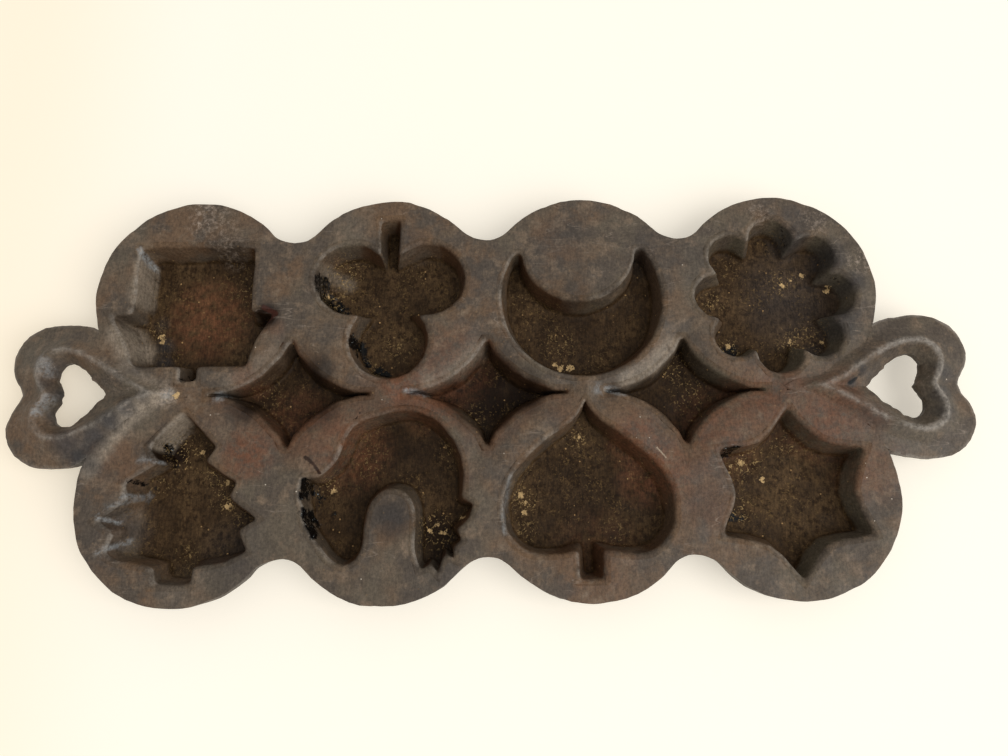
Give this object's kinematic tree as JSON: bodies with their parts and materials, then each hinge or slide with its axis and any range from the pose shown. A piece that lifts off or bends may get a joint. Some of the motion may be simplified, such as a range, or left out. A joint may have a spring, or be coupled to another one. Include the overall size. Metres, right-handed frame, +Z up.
{
  "type": "cookie mould",
  "caption": "Flat cast-iron cookie mould: scalloped plate with figure pockets, small concave diamond pockets between them and a heart-shaped loop handle at each end.",
  "frame": {"origin": "middle of the footprint, on the level of the flat undersides of the pockets", "axes": "+X along the row of lobes towards the right handle, +Y across, towards the row with the house, +Z up out of the pockets"},
  "size_m": [0.3628, 0.1544, 0.0196],
  "materials": {
    "plate_iron": "seasoned, worn satin with thin rust",
    "pocket_iron": "seasoned, dark brown with rust specks"
  },
  "bodies": {
    "root": {"mould_plate": "plate_iron", "house_pocket": "pocket_iron", "club_pocket": "pocket_iron", "moon_pocket": "pocket_iron", "flower_pocket": "pocket_iron", "tree_pocket": "pocket_iron", "fish_pocket": "pocket_iron", "spade_pocket": "pocket_iron", "star_pocket": "pocket_iron", "left_diamond_pocket": "pocket_iron", "middle_diamond_pocket": "pocket_iron", "right_diamond_pocket": "pocket_iron", "left_heart_handle": "plate_iron", "right_heart_handle": "plate_iron"}
  },
  "joints": []
}
